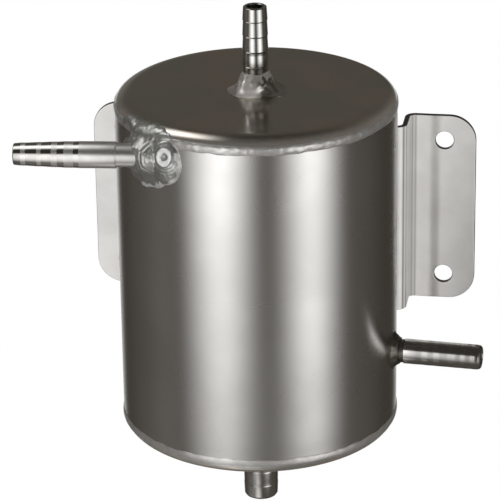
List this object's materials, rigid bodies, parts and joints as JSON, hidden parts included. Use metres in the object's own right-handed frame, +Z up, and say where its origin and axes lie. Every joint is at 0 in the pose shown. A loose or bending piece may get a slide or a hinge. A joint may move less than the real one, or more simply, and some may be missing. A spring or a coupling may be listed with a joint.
{
  "type": "surge tank",
  "caption": "Small cylindrical aluminium fuel surge tank with welded hose tails at its top, sides and underside, on a folded sheet bracket that bolts to a bulkhead.",
  "frame": {"origin": "middle of the bracket's bolt holes, on the flanges' back face that meets the bulkhead", "axes": "+Y into the bulkhead, +Z up along the tank's axis, +X towards the outlet tail's side"},
  "size_m": [0.163, 0.1185, 0.193],
  "materials": {
    "satin_tube": "drawn tube, lightly polished along its length to a soft satin",
    "burnished_cap": "pressed and burnished cap, nearly a mirror, with faint heat tint",
    "rim_weld": "fine ring weld, dressed almost flush, satin and slightly rough",
    "weld_bead": "as-laid weld metal, glossy ripples with frosted flanks",
    "turned_tail": "bright turned bar with fine feed marks",
    "bracket_sheet": "mill-finish sheet with faint rolling grain, folded and deburred"
  },
  "bodies": {
    "root": {"body_tube": "satin_tube", "top_cap": "burnished_cap", "bottom_cap": "burnished_cap", "top_rim_weld": "rim_weld", "bottom_rim_weld": "rim_weld", "vent_tail": "turned_tail", "vent_tail_weld": "weld_bead", "inlet_tail": "turned_tail", "inlet_tail_weld": "weld_bead", "outlet_tail": "turned_tail", "outlet_tail_weld": "weld_bead", "feed_tail": "turned_tail", "feed_tail_weld": "weld_bead", "mounting_bracket": "bracket_sheet", "bracket_top_weld": "weld_bead", "bracket_bottom_weld": "weld_bead"}
  },
  "joints": []
}
